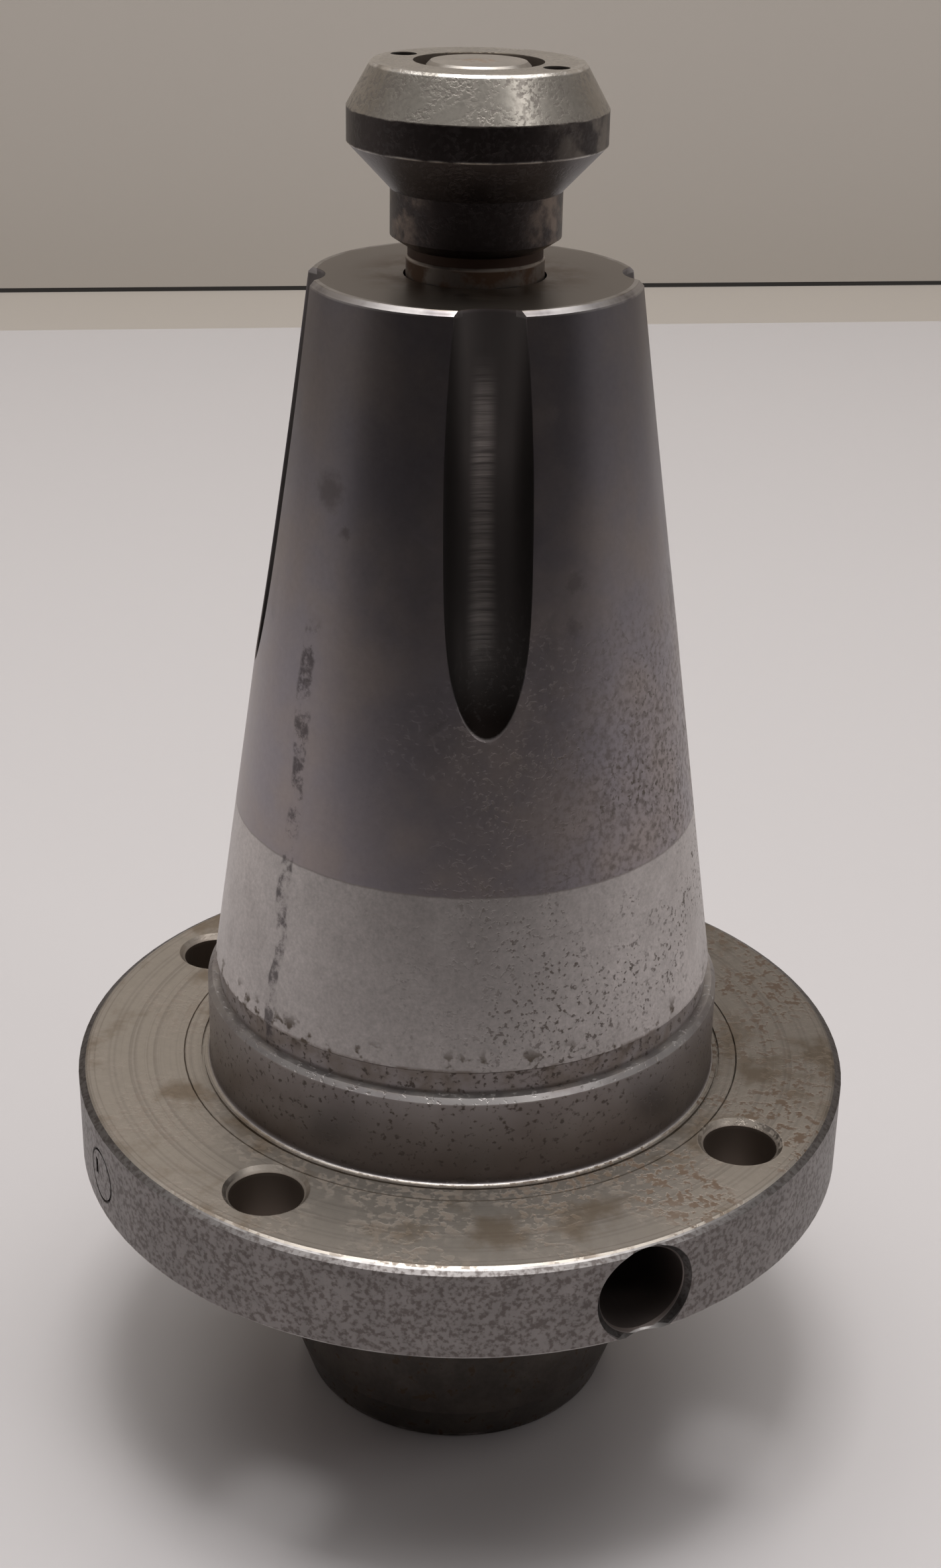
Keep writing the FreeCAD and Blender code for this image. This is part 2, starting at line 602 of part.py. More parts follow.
os.makedirs("parts", exist_ok=True)
for name, make in PIECES.items():
    shape = make()
    shape.exportStep("parts/" + name + ".step")
    box = shape.BoundBox
    print(name, "valid", shape.isValid(), "solids", len(shape.Solids), "volume", round(shape.Volume, 1),
          "width", round(box.XLength, 2), "from", round(box.ZMin, 2), "to", round(box.ZMax, 2))
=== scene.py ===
# %% [markdown]
# # A steep-taper collet chuck holder
# The holder is a turned and ground piece of steel: a long cone that seats in a milling machine's
# spindle, a drilled flange, a pull knob on top and a nose nut below. Its solids come ready made,
# so this lesson is about the view, the light and the worn steel. We load the solids as a fixed
# frame first.

# %% load the solids
import bpy
import math
from mathutils import Matrix, Vector


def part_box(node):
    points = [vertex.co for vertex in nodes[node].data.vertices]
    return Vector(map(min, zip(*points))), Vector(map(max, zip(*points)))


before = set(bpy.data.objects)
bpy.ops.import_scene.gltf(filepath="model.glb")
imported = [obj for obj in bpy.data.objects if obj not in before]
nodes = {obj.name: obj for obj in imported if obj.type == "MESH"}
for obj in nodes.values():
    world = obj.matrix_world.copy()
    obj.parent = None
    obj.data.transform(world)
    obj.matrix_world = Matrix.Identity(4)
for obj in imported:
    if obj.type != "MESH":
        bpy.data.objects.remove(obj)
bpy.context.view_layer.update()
MM = 0.001
print("nodes:", sorted(nodes))

# %% [markdown]
# ## Where the parts of the holder begin and end
# A finish often changes at an edge: the cone is ground, the flange is turned. We read the heights
# that a node's box gives, and count the others from them in millimetres.

# %% heights of the holder's faces
body_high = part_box("holder_body")[1]
SMALL_END = body_high[2] / MM
CONE_LENGTH = 101.6
GAUGE_ABOVE_FLANGE = 4.9
FLANGE_THICKNESS = 13.0
COLLAR_HEIGHT = 12.3
UNDERCUT_WIDTH = 3.3
GAUGE = SMALL_END - CONE_LENGTH
FLANGE_FACE = GAUGE - GAUGE_ABOVE_FLANGE
FLANGE_BACK = FLANGE_FACE - FLANGE_THICKNESS
COLLAR_TOP = FLANGE_FACE + COLLAR_HEIGHT
CONE_START = COLLAR_TOP + UNDERCUT_WIDTH
FLANGE_RADIUS = body_high[0] / MM
COLLAR_RADIUS = 34.6
GAUGE_RADIUS = 34.925
CONE_SLOPE = 7 / 48
KNOB_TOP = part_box("pull_knob")[1][2] / MM
print("knob top", KNOB_TOP, "small end", SMALL_END, "gauge line", GAUGE, "flange face", FLANGE_FACE)

# %% [markdown]
# ## The camera
# The camera looks down on the standing holder from close by, so the flange looks much wider than
# the knob. Blender's camera looks along its own -Z, so we tip it up to the horizon, tilt it down,
# and roll it a little about its own line of sight.

# %% camera
CAMERA_PLACE = Vector((0.0, -0.27012, 0.21666))
TILT_DOWN = math.radians(24.97)
TURN_RIGHT = math.radians(0.142)
ROLL = math.radians(1.136)

camera = bpy.data.objects.new("camera", bpy.data.cameras.new("camera"))
camera.data.sensor_fit = "VERTICAL"
camera.data.sensor_height = 36.0
camera.data.lens = 51.858
camera.data.clip_start = 0.01
turned = Matrix.Rotation(-TURN_RIGHT, 4, "Z") @ Matrix.Rotation(math.pi / 2 - TILT_DOWN, 4, "X")
camera.matrix_world = Matrix.Translation(CAMERA_PLACE) @ turned @ Matrix.Rotation(ROLL, 4, "Z")
bpy.context.collection.objects.link(camera)
bpy.context.scene.camera = camera
bpy.context.scene.view_settings.view_transform = "Standard"
print("camera height", CAMERA_PLACE.z, "lens", camera.data.lens)

# %% [markdown]
# ## Small helpers for shader nodes
# A worn finish needs many nodes. A few short functions keep the recipes readable: add makes a node
# and fills or links its inputs, calc does a sum, and the rest turn a height, a radius or a noise
# into a mask, which is a value from 0 to 1 that says where a layer lies.

# %% node helpers
def add(tree, kind, *inputs, **settings):
    """Adds a shader node, sets its options, and fills or links its inputs in order."""
    node = tree.nodes.new("ShaderNode" + kind)
    for option, value in settings.items():
        setattr(node, option, value)
    for socket, value in zip(node.inputs, inputs):
        if isinstance(value, bpy.types.NodeSocket):
            tree.links.new(value, socket)
        elif value is not None:
            socket.default_value = value
    return node


def calc(tree, operation, first, second=0.0):
    """One sum of two values or node outputs."""
    return add(tree, "Math", first, second, operation=operation).outputs[0]


def rise(tree, value, low, high):
    """0 below low, 1 above high, and a smooth rise between."""
    ramp = add(tree, "MapRange", value, low, high, 0.0, 1.0, interpolation_type="SMOOTHSTEP")
    return ramp.outputs[0]


def between(tree, value, low, high, soft):
    """1 from low to high, with soft edges."""
    up = rise(tree, value, low - soft, low + soft)
    down = rise(tree, value, high - soft, high + soft)
    return calc(tree, "SUBTRACT", up, down)


def within(tree, value, low, high):
    """1 from low to high, with hard edges."""
    return both(tree, calc(tree, "GREATER_THAN", value, low), calc(tree, "LESS_THAN", value, high))


def fall(tree, value, low, high):
    """1 below low, 0 above high, and a smooth fall between."""
    return calc(tree, "SUBTRACT", 1.0, rise(tree, value, low, high))


def both(tree, *masks):
    """The masks multiplied: 1 only where every mask is 1. A number among them weakens it."""
    result = masks[0]
    for mask in masks[1:]:
        result = calc(tree, "MULTIPLY", result, mask)
    return result


# %% [markdown]
# ## Places on a turned piece
# Everything here was turned or ground round one axis, so a finish is easiest to describe with a
# height, a radius and an angle. Object coordinates stay with the piece when it moves.

# %% places on the piece
class Place:
    """Millimetre places for a finish: the point, its height, radius and angle round the axis."""

    def __init__(self, tree):
        coordinates = add(tree, "TexCoord").outputs["Object"]
        scaled = add(tree, "VectorMath", coordinates, None, None, 1 / MM, operation="SCALE")
        self.point = scaled.outputs[0]
        x, y, self.height = add(tree, "SeparateXYZ", self.point).outputs
        flat = add(tree, "CombineXYZ", x, y, 0.0).outputs[0]
        self.radius = add(tree, "VectorMath", flat, operation="LENGTH").outputs["Value"]
        behind = calc(tree, "MULTIPLY", y, -1.0)
        radians = calc(tree, "ARCTAN2", x, behind)
        self.angle = calc(tree, "MULTIPLY", radians, 180 / math.pi)
        self.rings = add(tree, "CombineXYZ", self.radius, 0.0, self.height).outputs[0]


def distance_to(tree, place, angle, height):
    """Millimetres from a spot on a turned face, given by its angle and height."""
    turned_by = calc(tree, "RADIANS", calc(tree, "SUBTRACT", place.angle, angle))
    across = calc(tree, "MULTIPLY", turned_by, place.radius)
    along = calc(tree, "SUBTRACT", place.height, height)
    offset = add(tree, "CombineXYZ", across, along, 0.0).outputs[0]
    return add(tree, "VectorMath", offset, operation="LENGTH").outputs["Value"]


def cloud(tree, where, size, detail=4.0, roughness=0.55, warp=0.0):
    """Soft noise from 0 to 1 with patches about size millimetres across."""
    noise = add(tree, "TexNoise", where, None, 1 / size, detail, roughness, 2.0, 0.0, 1.0, warp)
    return noise.outputs[0]


def spots(tree, where, size, level, soft=0.03, detail=3.0):
    """1 inside the patches where the noise rises above level."""
    return rise(tree, cloud(tree, where, size, detail), level - soft, level + soft)


# %% [markdown]
# ## Painting steel in layers
# Old steel is bright metal with films and dirt on it. We start with bare metal and cover it layer
# by layer: each layer has a mask, a colour and a roughness, and may be raised or sunk.

# %% layers of a finish
class Steel:
    """A steel finish that is covered layer by layer and then closed."""

    def __init__(self, name, colour, rough):
        self.material = bpy.data.materials.new(name)
        self.material.use_nodes = True
        self.tree = self.material.node_tree
        self.tree.nodes.clear()
        self.place = Place(self.tree)
        self.colour = (*colour, 1.0)
        self.rough = rough
        self.metal = 1.0
        self.relief = 0.0

    def cover(self, mask, colour=None, rough=None, metal=None, raise_by=None):
        """Lays a film where the mask is 1: its colour, roughness, metal share and height."""
        if colour is not None:
            mix = add(self.tree, "Mix", data_type="RGBA")
            for socket, value in zip((mix.inputs[0], mix.inputs[6], mix.inputs[7]),
                                     (mask, self.colour, (*colour, 1.0))):
                self.feed(socket, value)
            self.colour = mix.outputs[2]
        if rough is not None:
            self.rough = add(self.tree, "Mix", mask, None, self.rough, rough).outputs[0]
        if metal is not None:
            self.metal = add(self.tree, "Mix", mask, None, self.metal, metal).outputs[0]
        if raise_by is not None:
            self.relief = add(self.tree, "Math", mask, raise_by, self.relief,
                              operation="MULTIPLY_ADD").outputs[0]

    def feed(self, socket, value):
        """Links a socket to a node's output, or writes a constant on it."""
        if isinstance(value, bpy.types.NodeSocket):
            self.tree.links.new(value, socket)
        else:
            socket.default_value = value

    def shade(self, mask, at_none, at_full):
        """Scales the colour so far: by at_none where the mask is 0 and by at_full where it is 1."""
        factor = add(self.tree, "MapRange", mask, 0.0, 1.0, at_none, at_full).outputs[0]
        colour = self.colour
        if not isinstance(colour, bpy.types.NodeSocket):
            colour = colour[:3]
        scaled = add(self.tree, "VectorMath", colour, None, None, factor, operation="SCALE")
        self.colour = scaled.outputs[0]

    def close(self, bump_depth=0.1):
        """Joins the layers to a surface. A relief of 1 stands bump_depth millimetres high."""
        surface = add(self.tree, "BsdfPrincipled")
        self.feed(surface.inputs["Base Color"], self.colour)
        self.feed(surface.inputs["Roughness"], self.rough)
        self.feed(surface.inputs["Metallic"], self.metal)
        bump = add(self.tree, "Bump", 1.0, bump_depth * MM)
        self.feed(bump.inputs["Height"], self.relief)
        self.tree.links.new(bump.outputs[0], surface.inputs["Normal"])
        add(self.tree, "OutputMaterial", surface.outputs[0])
        print(self.material.name, "has", len(self.tree.nodes), "nodes")
        return self.material


def dress(node_name, material):
    """Gives a CAD node its finish."""
    mesh = nodes[node_name].data
    for slot in range(len(mesh.materials)):
        mesh.materials[slot] = material


# %% [markdown]
# ## The ground cone
# A spindle grips the upper part of the cone, and the film that this leaves is darker and bluer
# than the part near the flange, with a sharp line between the two. Fine rings from the grinding
# wheel run round it. Rust has eaten small pits, mostly on the right.

# %% ground cone and bare steel
body = Steel("ground_steel", (0.30, 0.280, 0.272), 0.36)
tree = body.tree
place = body.place
height, radius, angle = place.height, place.radius, place.angle

clouds = cloud(tree, place.point, 16.0, 3.0)
grain = cloud(tree, place.point, 0.9, 4.0, 0.7)
ring_marks = cloud(tree, place.rings, 0.35, 2.0)
body.shade(clouds, 0.75, 1.2)
body.shade(grain, 0.72, 1.25)
body.shade(cloud(tree, place.point, 0.4, 2.0), 0.80, 1.18)
body.cover(ring_marks, raise_by=0.03)
body.cover(spots(tree, place.point, 5.0, 0.56, 0.12), rough=0.44)

FILM_EDGE = GAUGE + 33.2
film_edge = calc(tree, "ADD", height, calc(tree, "MULTIPLY", cloud(tree, place.point, 3.0), 0.3))
on_film = rise(tree, film_edge, FILM_EDGE + 0.05, FILM_EDGE + 0.3)
body.cover(on_film, (0.205, 0.188, 0.202), 0.33)
film_clouds = spots(tree, place.point, 11.0, 0.52, 0.2)
body.cover(both(tree, on_film, film_clouds), (0.235, 0.205, 0.198), 0.37)
body.shade(both(tree, on_film, grain), 1.12, 0.88)
body.shade(both(tree, on_film, rise(tree, height, GAUGE + 45.0, GAUGE + 95.0)), 1.05, 0.58)
edge_line = between(tree, film_edge, FILM_EDGE, FILM_EDGE + 0.22, 0.1)
body.cover(both(tree, edge_line, 0.45), (0.13, 0.11, 0.10), 0.5)
print("film starts at height", FILM_EDGE)

# %% [markdown]
# ## Collar and relief
# Between the cone and the flange lies a low collar. The ground cone stops in a narrow undercut,
# where cleaning never reaches, so grime lies along it.

# %% collar and relief
under_cone = fall(tree, height, CONE_START - 0.1, CONE_START + 0.1)
above_face = rise(tree, height, FLANGE_FACE + 0.1, FLANGE_FACE + 0.3)
inside_collar = calc(tree, "LESS_THAN", radius, COLLAR_RADIUS + 0.3)
on_collar = both(tree, under_cone, above_face, inside_collar)
body.cover(on_collar, (0.215, 0.198, 0.196), 0.40)
body.cover(both(tree, on_collar, film_clouds), (0.17, 0.15, 0.146), 0.42)
low_collar = fall(tree, height, FLANGE_FACE + 0.5, FLANGE_FACE + 7.0)
body.cover(both(tree, on_collar, low_collar, 0.6), (0.11, 0.092, 0.087), 0.45)
grime_noise = rise(tree, cloud(tree, place.point, 3.5, 5.0), 0.40, 0.66)
undercut = between(tree, height, COLLAR_TOP - 0.1, CONE_START + 0.25, 0.2)
near_undercut = between(tree, height, CONE_START - 1.0, CONE_START + 2.2, 1.3)
body.cover(both(tree, undercut, grime_noise), (0.17, 0.145, 0.13), 0.5, 0.8)
grime_spots = both(tree, near_undercut, spots(tree, place.point, 2.2, 0.6, 0.05))
body.cover(grime_spots, (0.09, 0.07, 0.055), 0.6, 0.5)
print("collar from", FLANGE_FACE, "to", COLLAR_TOP)

# %% [markdown]
# ## Flange face and rim
# The flange was turned, not ground, so it is rougher. Its face has a yellow-grey tint and brown
# rust where water stood on it. The rim is evenly freckled, and its top corner is cut back and
# carries painted shade.

# %% flange face and rim
RIM_DEPTH = 0.9
FLANGE_CHAMFER = 0.68
outside_collar = calc(tree, "GREATER_THAN", radius, COLLAR_RADIUS + 0.3)
on_face = both(tree, outside_collar, calc(tree, "GREATER_THAN", height, FLANGE_FACE - 0.9),
               calc(tree, "LESS_THAN", radius, FLANGE_RADIUS - RIM_DEPTH))
body.cover(on_face, (0.295, 0.265, 0.232), 0.42)
face_rings = cloud(tree, place.rings, 0.5, 3.0)
body.cover(both(tree, on_face, rise(tree, face_rings, 0.45, 0.65)), (0.225, 0.2, 0.175), 0.45)
body.shade(both(tree, on_face, grain), 1.1, 0.85)

on_rim = both(tree, calc(tree, "GREATER_THAN", radius, FLANGE_RADIUS - RIM_DEPTH),
              calc(tree, "LESS_THAN", height, FLANGE_FACE))
body.cover(on_rim, (0.215, 0.198, 0.192), 0.43)
rim_freckles = spots(tree, place.point, 0.7, 0.53, 0.10, 4.0)
body.cover(both(tree, on_rim, rim_freckles, 0.85), (0.115, 0.098, 0.092), 0.5)
rim_clouds = cloud(tree, place.point, 4.0, 4.0)
body.shade(both(tree, on_rim, rim_clouds), 1.18, 0.7)
# The top chamfer is painted darker: painted shade that tones down its reflection of the lamp panel.
shaded_chamfer = both(tree, on_rim, calc(tree, "GREATER_THAN", height, FLANGE_FACE - FLANGE_CHAMFER))
body.shade(shaded_chamfer, 1.0, 0.62)
print("flange radius", FLANGE_RADIUS)

# %% [markdown]
# ## Rust on the flange face
# Rust comes in patches: a coarse noise says where the patches are and a fine one breaks them into
# specks, which are sunk a little. Brown stains lie round them, and the right side is duller.

# %% rust on the flange face
right_side = rise(tree, angle, -25.0, 55.0)
rust_zone = rise(tree, cloud(tree, place.point, 13.0, 3.0), 0.36, 0.56)
rust_specks = spots(tree, place.point, 1.0, 0.53, 0.06, 5.0)
rust_weight = add(tree, "Math", right_side, 0.6, 0.4, operation="MULTIPLY_ADD").outputs[0]
face_rust = both(tree, on_face, rust_zone, rust_specks, rust_weight)
body.cover(face_rust, (0.115, 0.075, 0.048), 0.65, 0.35, -0.25)
face_stain = both(tree, on_face, rise(tree, cloud(tree, place.point, 9.0, 5.0), 0.50, 0.68))
body.cover(both(tree, face_stain, 0.8), (0.16, 0.122, 0.085), 0.5)
body.shade(both(tree, on_face, rise(tree, angle, 30.0, 90.0)), 1.0, 0.6)
print("rust specks are about 1 mm across")

# %% [markdown]
# ## Pits and freckles
# The lower cone and the collar are pitted, and the film on the right is freckled. These are the
# same kind of noise as the rust, only finer, and each is kept to its own place by a mask.

# %% pits and freckles
on_cone = within(tree, height, COLLAR_TOP + 0.2, SMALL_END - 0.8)
cone_pits = spots(tree, place.point, 0.65, 0.60, 0.05, 3.0)
pit_zone = rise(tree, cloud(tree, place.point, 12.0, 2.0), 0.36, 0.60)
low_down = fall(tree, height, GAUGE + 45.0, GAUGE + 75.0)
pitted = both(tree, on_cone, cone_pits, pit_zone, low_down, rise(tree, angle, -40.0, 30.0))
body.cover(pitted, (0.13, 0.108, 0.096), 0.6, 0.6, -0.2)
freckles = both(tree, on_film, spots(tree, place.point, 0.8, 0.55, 0.16, 5.0), right_side, low_down)
body.cover(both(tree, freckles, 0.65), (0.11, 0.09, 0.078), 0.5)
collar_pits = both(tree, on_collar, spots(tree, place.point, 0.8, 0.62, 0.06))
body.cover(collar_pits, (0.11, 0.09, 0.08), 0.6, 0.6, -0.2)
print("pits fade out above", GAUGE + 45.0)

# %% [markdown]
# ## The oil stain
# A run of old oil left a broken dark column down the left side. It sways, so we shift the angle by
# a slow noise before we measure from the column's middle, and a rough noise breaks it up.

# %% oil stain
STAIN_ANGLE = -46.6
stain_sway = calc(tree, "MULTIPLY", calc(tree, "SUBTRACT", cloud(tree, place.point, 9.0), 0.5), 7.0)
swayed_angle = calc(tree, "ADD", angle, stain_sway)
from_stain = calc(tree, "ABSOLUTE", calc(tree, "SUBTRACT", swayed_angle, STAIN_ANGLE))
stain_width = add(tree, "MapRange", height, GAUGE + 5.0, GAUGE + 62.0, 1.2, 3.6).outputs[0]
in_column = fall(tree, calc(tree, "DIVIDE", from_stain, stain_width), 0.7, 1.1)
stain_breaks = rise(tree, cloud(tree, place.point, 3.2, 6.0, 0.75), 0.44, 0.60)
stain_span = between(tree, height, GAUGE + 6.0, GAUGE + 63.0, 2.0)
stain = both(tree, in_column, stain_breaks, stain_span, on_cone)
body.cover(both(tree, stain, 0.8), (0.075, 0.062, 0.065), 0.5, 0.7)
print("stain column at", STAIN_ANGLE, "degrees")

# %% [markdown]
# ## Smudges
# A few fingers' smudges sit on the film. Each has an angle, a height and a size, and a noise is
# added to its distance so that its edge is ragged.

# %% smudges
SMUDGES = ((-45.3, GAUGE + 79.6, 2.6), (-37.5, GAUGE + 75.2, 1.0), (30.0, GAUGE + 70.5, 1.6),
           (29.0, GAUGE + 65.1, 1.4), (25.0, GAUGE + 90.0, 1.0))
smudge_edge = calc(tree, "MULTIPLY", cloud(tree, place.point, 1.3, 5.0, 0.7), 3.4)
for smudge_angle, smudge_height, smudge_size in SMUDGES:
    away = distance_to(tree, place, smudge_angle, smudge_height)
    ragged = calc(tree, "ADD", away, smudge_edge)
    inside = fall(tree, ragged, smudge_size * 0.5 + 1.2, smudge_size * 1.2 + 1.6)
    body.cover(both(tree, inside, 0.6), (0.10, 0.085, 0.082), 0.5)
print("smudges:", len(SMUDGES))

# %% [markdown]
# ## Flutes
# The four flutes were milled and never ground, so they are dark with scale. Where the cutter ran
# out each flute ends in a deep pocket, painted nearly black: painted shade. We find the flutes as
# the places that lie below the cone's surface. In the front one the cutter chattered and left a
# bright ladder of fine marks: a noise squeezed in height.

# %% flutes
cone_radius = add(tree, "Math", calc(tree, "SUBTRACT", height, GAUGE), -CONE_SLOPE, GAUGE_RADIUS,
                  operation="MULTIPLY_ADD").outputs[0]
below_cone = calc(tree, "SUBTRACT", cone_radius, radius)
FLUTE_FOOT = GAUGE + 43.5
FLUTE_LEAST_RADIUS = 14.0
in_flute = both(tree, rise(tree, below_cone, 0.05, 0.25),
                between(tree, height, FLUTE_FOOT, SMALL_END - 0.3, 0.2),
                calc(tree, "GREATER_THAN", radius, FLUTE_LEAST_RADIUS))
body.cover(in_flute, (0.12, 0.108, 0.104), 0.42)
body.shade(both(tree, in_flute, clouds), 1.1, 0.85)
LADDER_SQUEEZE = (0.08, 0.08, 2.6)
squeezed = add(tree, "VectorMath", place.point, LADDER_SQUEEZE, operation="MULTIPLY").outputs[0]
ladder = cloud(tree, squeezed, 1.0, 3.0, 0.7)
CHATTER_LOW = GAUGE + 62.0
CHATTER_HIGH = GAUGE + 93.0
chatter = both(tree, in_flute, between(tree, height, CHATTER_LOW, CHATTER_HIGH, 4.0),
               between(tree, angle, 1.0, 7.5, 2.4), rise(tree, ladder, 0.22, 0.75))
body.cover(both(tree, chatter, 0.9), (0.50, 0.455, 0.43), 0.36, None, 0.1)
# The deep lower end of each flute is painted nearly black: painted shade.
run_out_shade = fall(tree, height, GAUGE + 54.0, GAUGE + 66.0)
body.cover(both(tree, in_flute, run_out_shade), (0.012, 0.009, 0.008), 0.5)
print("chatter from", CHATTER_LOW, "to", CHATTER_HIGH)

# %% [markdown]
# ## The small end
# The small end is a flat ring round the stud. Damp creeps out from under the stud, so the ring is
# stained brown near it and cleaner outwards.

# %% small end
STUD_HOLE_RADIUS = 8.2
on_end = both(tree, calc(tree, "GREATER_THAN", height, SMALL_END - 0.08),
              calc(tree, "GREATER_THAN", radius, STUD_HOLE_RADIUS))
body.cover(on_end, (0.155, 0.132, 0.112), 0.36)
round_stud = fall(tree, radius, 9.0, 16.0)
end_stain = both(tree, on_end, round_stud, rise(tree, cloud(tree, place.point, 4.0, 5.0), 0.35, 0.65))
body.cover(both(tree, end_stain, 0.8), (0.11, 0.07, 0.045), 0.5, 0.6)
print("small end at", SMALL_END)

# %% [markdown]
# ## The bolt holes
# Four bolt holes go through the flange, dark inside and rubbed bright at the mouth. All four look
# alike, so we fold the angle into one quarter turn and measure from one hole's middle.

# %% bolt holes
BOLT_CIRCLE_RADIUS = 43.6
BOLT_HOLE_RADIUS = 4.75
BOLT_MOUTH_RADIUS = 5.5
FIRST_BOLT = -33.2
quarter_turn = calc(tree, "FLOORED_MODULO", calc(tree, "SUBTRACT", angle, FIRST_BOLT - 45.0), 90.0)
from_bolt = calc(tree, "RADIANS", calc(tree, "SUBTRACT", quarter_turn, 45.0))
bolt_reach = calc(tree, "MULTIPLY", radius, calc(tree, "COSINE", from_bolt))
bolt_x = calc(tree, "SUBTRACT", bolt_reach, BOLT_CIRCLE_RADIUS)
bolt_y = calc(tree, "MULTIPLY", radius, calc(tree, "SINE", from_bolt))
bolt_offset = add(tree, "CombineXYZ", bolt_x, bolt_y, 0.0).outputs[0]
bolt_away = add(tree, "VectorMath", bolt_offset, operation="LENGTH").outputs["Value"]
in_bolt_hole = both(tree, calc(tree, "LESS_THAN", bolt_away, BOLT_HOLE_RADIUS + 0.25),
                    calc(tree, "LESS_THAN", height, FLANGE_FACE - 0.3))
body.cover(in_bolt_hole, (0.16, 0.125, 0.10), 0.5, 0.7)
bolt_mouth = both(tree, between(tree, bolt_away, BOLT_HOLE_RADIUS + 0.03, BOLT_MOUTH_RADIUS + 0.1, 0.12),
                  between(tree, height, FLANGE_FACE - 1.2, FLANGE_FACE + 0.5, 0.2))
body.cover(both(tree, bolt_mouth, 0.7), (0.33, 0.29, 0.25), 0.4)
print("bolt circle radius", BOLT_CIRCLE_RADIUS)

# %% [markdown]
# ## Plug and socket in the rim
# A plug sits flush in the rim, and its edge shows as a thin dark ring. The spanner socket to the
# right is dark inside, and its turned mouth and bore carry painted shade that makes them darker
# than the rim.

# %% plug and socket in the rim
inside_rim = both(tree, between(tree, height, FLANGE_BACK + 0.2, FLANGE_FACE - 1.0, 0.05),
                  between(tree, radius, 30.0, FLANGE_RADIUS - 0.8, 0.3),
                  calc(tree, "GREATER_THAN", bolt_away, BOLT_HOLE_RADIUS + 0.45))
body.cover(inside_rim, (0.13, 0.105, 0.095), 0.5, 0.7)
PLUG_RADIUS = 3.4
PLUG_ANGLE = -62.8
PLUG_HEIGHT = FLANGE_BACK + 6.0
SOCKET_MOUTH_RADIUS = 6.7
SOCKET_ANGLE = 26.3
SOCKET_HEIGHT = FLANGE_BACK + 6.2
from_plug = distance_to(tree, place, PLUG_ANGLE, PLUG_HEIGHT)
plug_ring = both(tree, on_rim, between(tree, from_plug, PLUG_RADIUS - 0.2, PLUG_RADIUS + 0.4, 0.12))
body.cover(plug_ring, (0.03, 0.025, 0.023), 0.5)
from_socket = distance_to(tree, place, SOCKET_ANGLE, SOCKET_HEIGHT)
socket_shade = both(tree, on_rim, calc(tree, "LESS_THAN", from_socket, SOCKET_MOUTH_RADIUS),
                    calc(tree, "LESS_THAN", radius, FLANGE_RADIUS - 0.05))
# The socket's mouth and bore are painted darker: painted shade.
body.shade(socket_shade, 1.0, 0.4)
print("plug at", PLUG_ANGLE, "and socket at", SOCKET_ANGLE, "degrees")

# %% [markdown]
# ## The underside
# Under the flange the steel is painted darker and rougher all over. One mask by height is enough
# for it.

# %% underside
underneath = fall(tree, height, FLANGE_BACK - 0.1, FLANGE_BACK + 0.1)
body.cover(underneath, (0.20, 0.18, 0.165), 0.48)
print("underside below", FLANGE_BACK)

# %% [markdown]
# ## Bright edges
# Edges are rubbed clean by handling and catch the lamp's light, so they are painted brighter and
# smoother than the faces beside them: partly wear, partly painted highlight. The rim's top edge is
# painted bright only at the front. A noise breaks the line, so it is not bright everywhere.

# %% bright edges
rubbed_and_highlit = rise(tree, cloud(tree, place.point, 5.0, 4.0), 0.30, 0.60)
edges = (
    between(tree, height, SMALL_END - 0.75, SMALL_END + 0.2, 0.1),
    between(tree, height, COLLAR_TOP - 0.75, COLLAR_TOP + 0.15, 0.12),
    # The rim's top edge is bright only at the front, where it catches the light: painted highlight.
    both(tree, on_rim, calc(tree, "GREATER_THAN", height, FLANGE_FACE - 0.3),
         between(tree, angle, -35.0, 35.0, 20.0)),
    both(tree, on_rim, calc(tree, "LESS_THAN", height, FLANGE_BACK + 0.45)),
)
outer_end = calc(tree, "GREATER_THAN", radius, 19.0)
# Each edge is painted brighter: partly wear, partly painted highlight.
for edge in edges:
    worn_and_highlit = both(tree, edge, rubbed_and_highlit, outer_end)
    body.cover(both(tree, worn_and_highlit, 0.6), (0.46, 0.435, 0.42), 0.32)
print("edges rubbed bright:", len(edges))

dress("holder_body", body.close())

# %% [markdown]
# ## The pull knob's ground top
# The knob was blackened after hardening, then its top and upper cone were ground. The ground part
# is mottled with small dark freckles, so we start with bare steel and sink the freckles into it.

# %% ground top of the knob
knob = Steel("knob_steel", (0.36, 0.33, 0.29), 0.33)
tree, place = knob.tree, knob.place
height, radius, angle = place.height, place.radius, place.angle
grain = cloud(tree, place.point, 0.7, 4.0, 0.7)
clouds = cloud(tree, place.point, 5.0, 3.0)
knob.shade(clouds, 0.7, 1.2)
knob.shade(grain, 0.65, 1.25)
freckles = both(tree, spots(tree, place.point, 0.55, 0.53, 0.08, 4.0),
                rise(tree, cloud(tree, place.point, 3.0, 2.0), 0.3, 0.6))
knob.cover(both(tree, freckles, 0.8), (0.15, 0.13, 0.115), 0.5, 0.7, -0.15)
print("knob top at", KNOB_TOP)

# %% [markdown]
# ## The knob's black band and neck
# Everything below the upper cone is still black, with a slightly wavy edge where the grinding
# stopped. Handling has rubbed it to brown at the neck's sides and on the right of the band.

